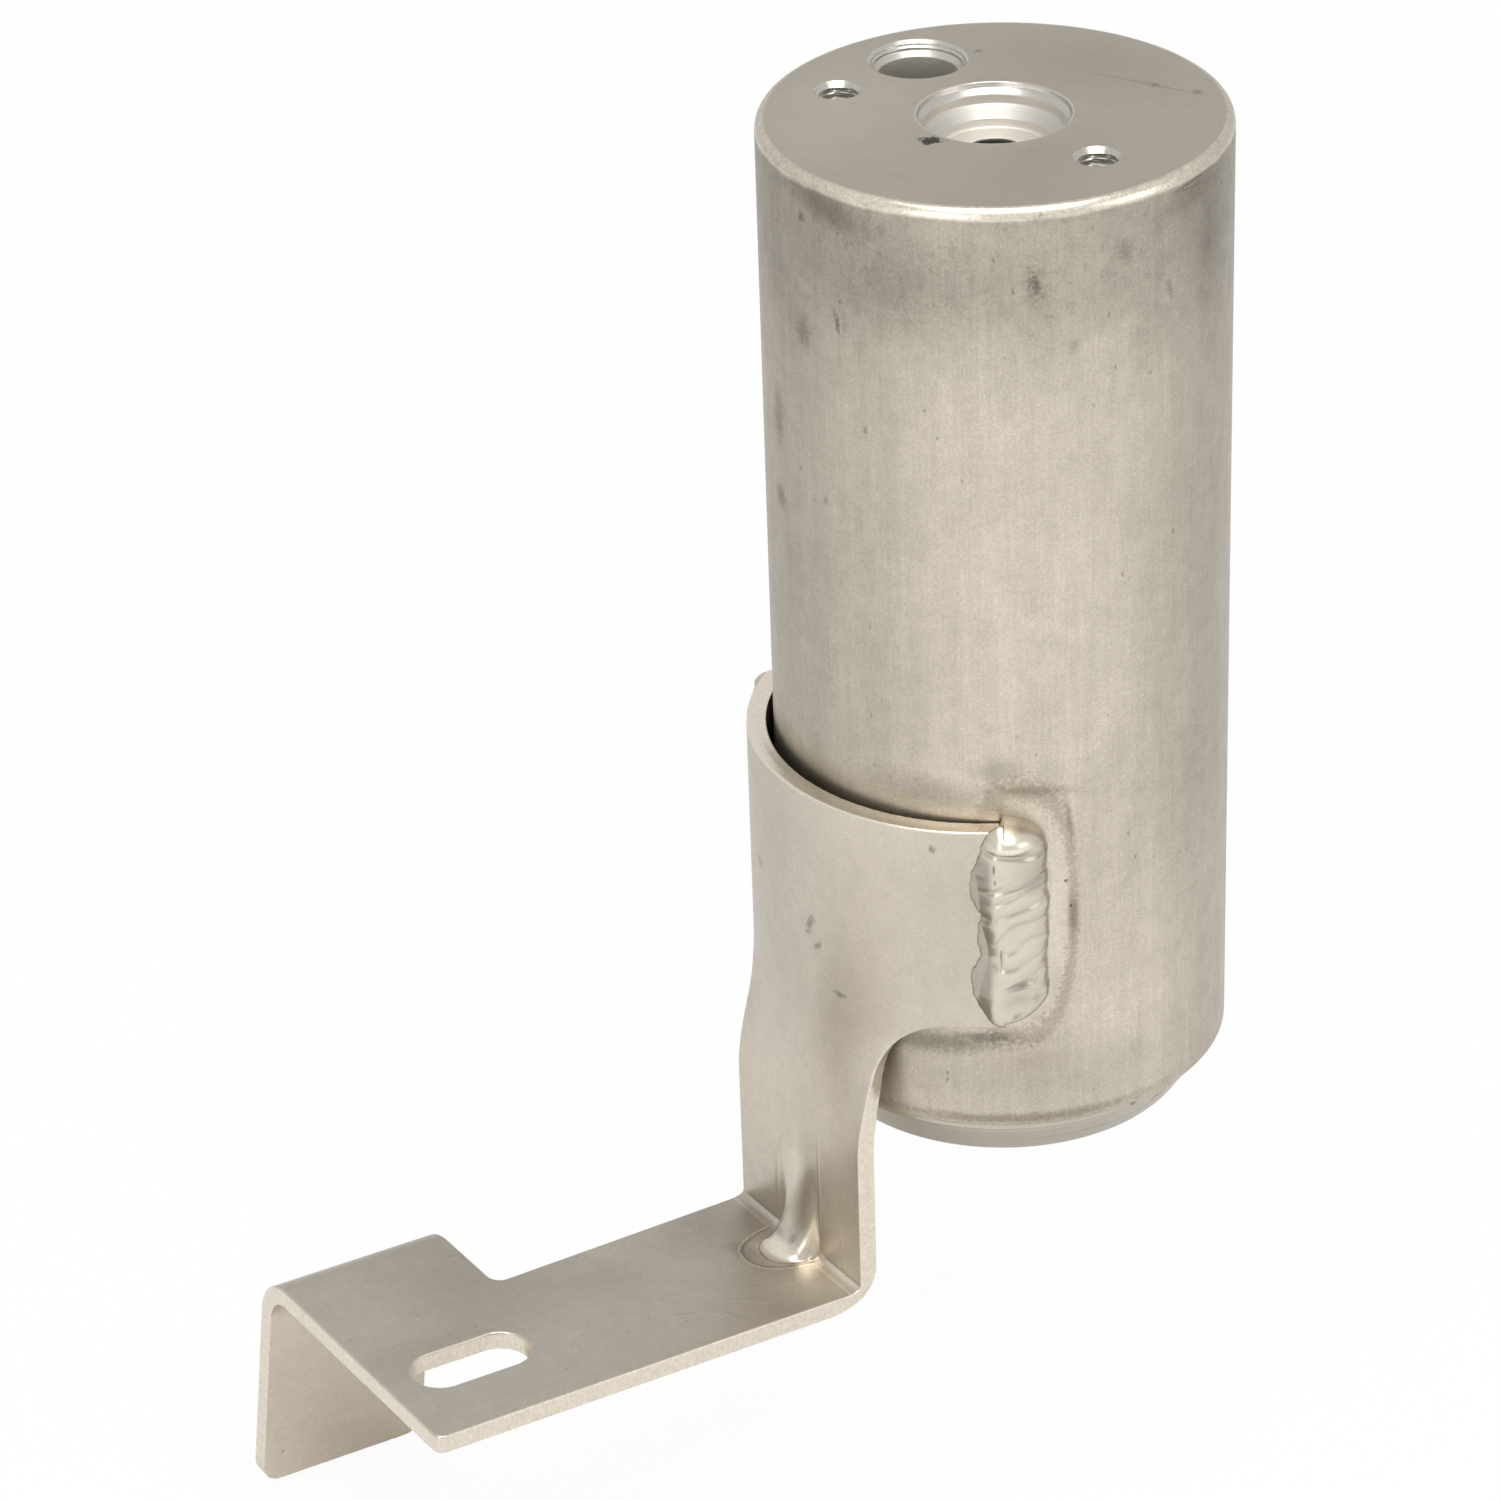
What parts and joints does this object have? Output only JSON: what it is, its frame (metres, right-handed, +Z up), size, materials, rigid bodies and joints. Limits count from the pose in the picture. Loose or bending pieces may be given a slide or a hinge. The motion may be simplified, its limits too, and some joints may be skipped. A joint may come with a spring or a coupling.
{
  "type": "receiver drier",
  "caption": "Cylindrical aluminium receiver drier with two ports and tapped holes in its head and a welded folded foot bracket.",
  "frame": {"origin": "centre of the can's flat bottom, on the can's axis", "axes": "+Z up the can's axis to the ported head, -X towards the foot plate, +Y towards the side flange"},
  "size_m": [0.1427, 0.0706, 0.2049],
  "materials": {
    "extruded_aluminium": "as-extruded satin with drawing streaks and stains",
    "turned_aluminium": "turned",
    "sheet_aluminium": "mill satin, scratched",
    "weld_metal": "rippled weld bead",
    "drawn_tube": "drawn",
    "strainer_nylon": "moulded",
    "perforated_plate": "pressed sheet",
    "filter_felt": "felt",
    "desiccant_beads": "bead bed",
    "spring_wire": "bright wire"
  },
  "bodies": {
    "root": {"vessel": "extruded_aluminium", "bottom_cap": "turned_aluminium", "mounting_bracket": "sheet_aluminium", "bracket_weld_front": "weld_metal", "bracket_weld_rear": "weld_metal", "pick_up_tube": "drawn_tube", "tube_strainer": "strainer_nylon", "lower_plate": "perforated_plate", "lower_pad": "filter_felt", "desiccant_charge": "desiccant_beads", "upper_pad": "filter_felt", "upper_plate": "perforated_plate", "bed_spring": "spring_wire"}
  },
  "joints": []
}
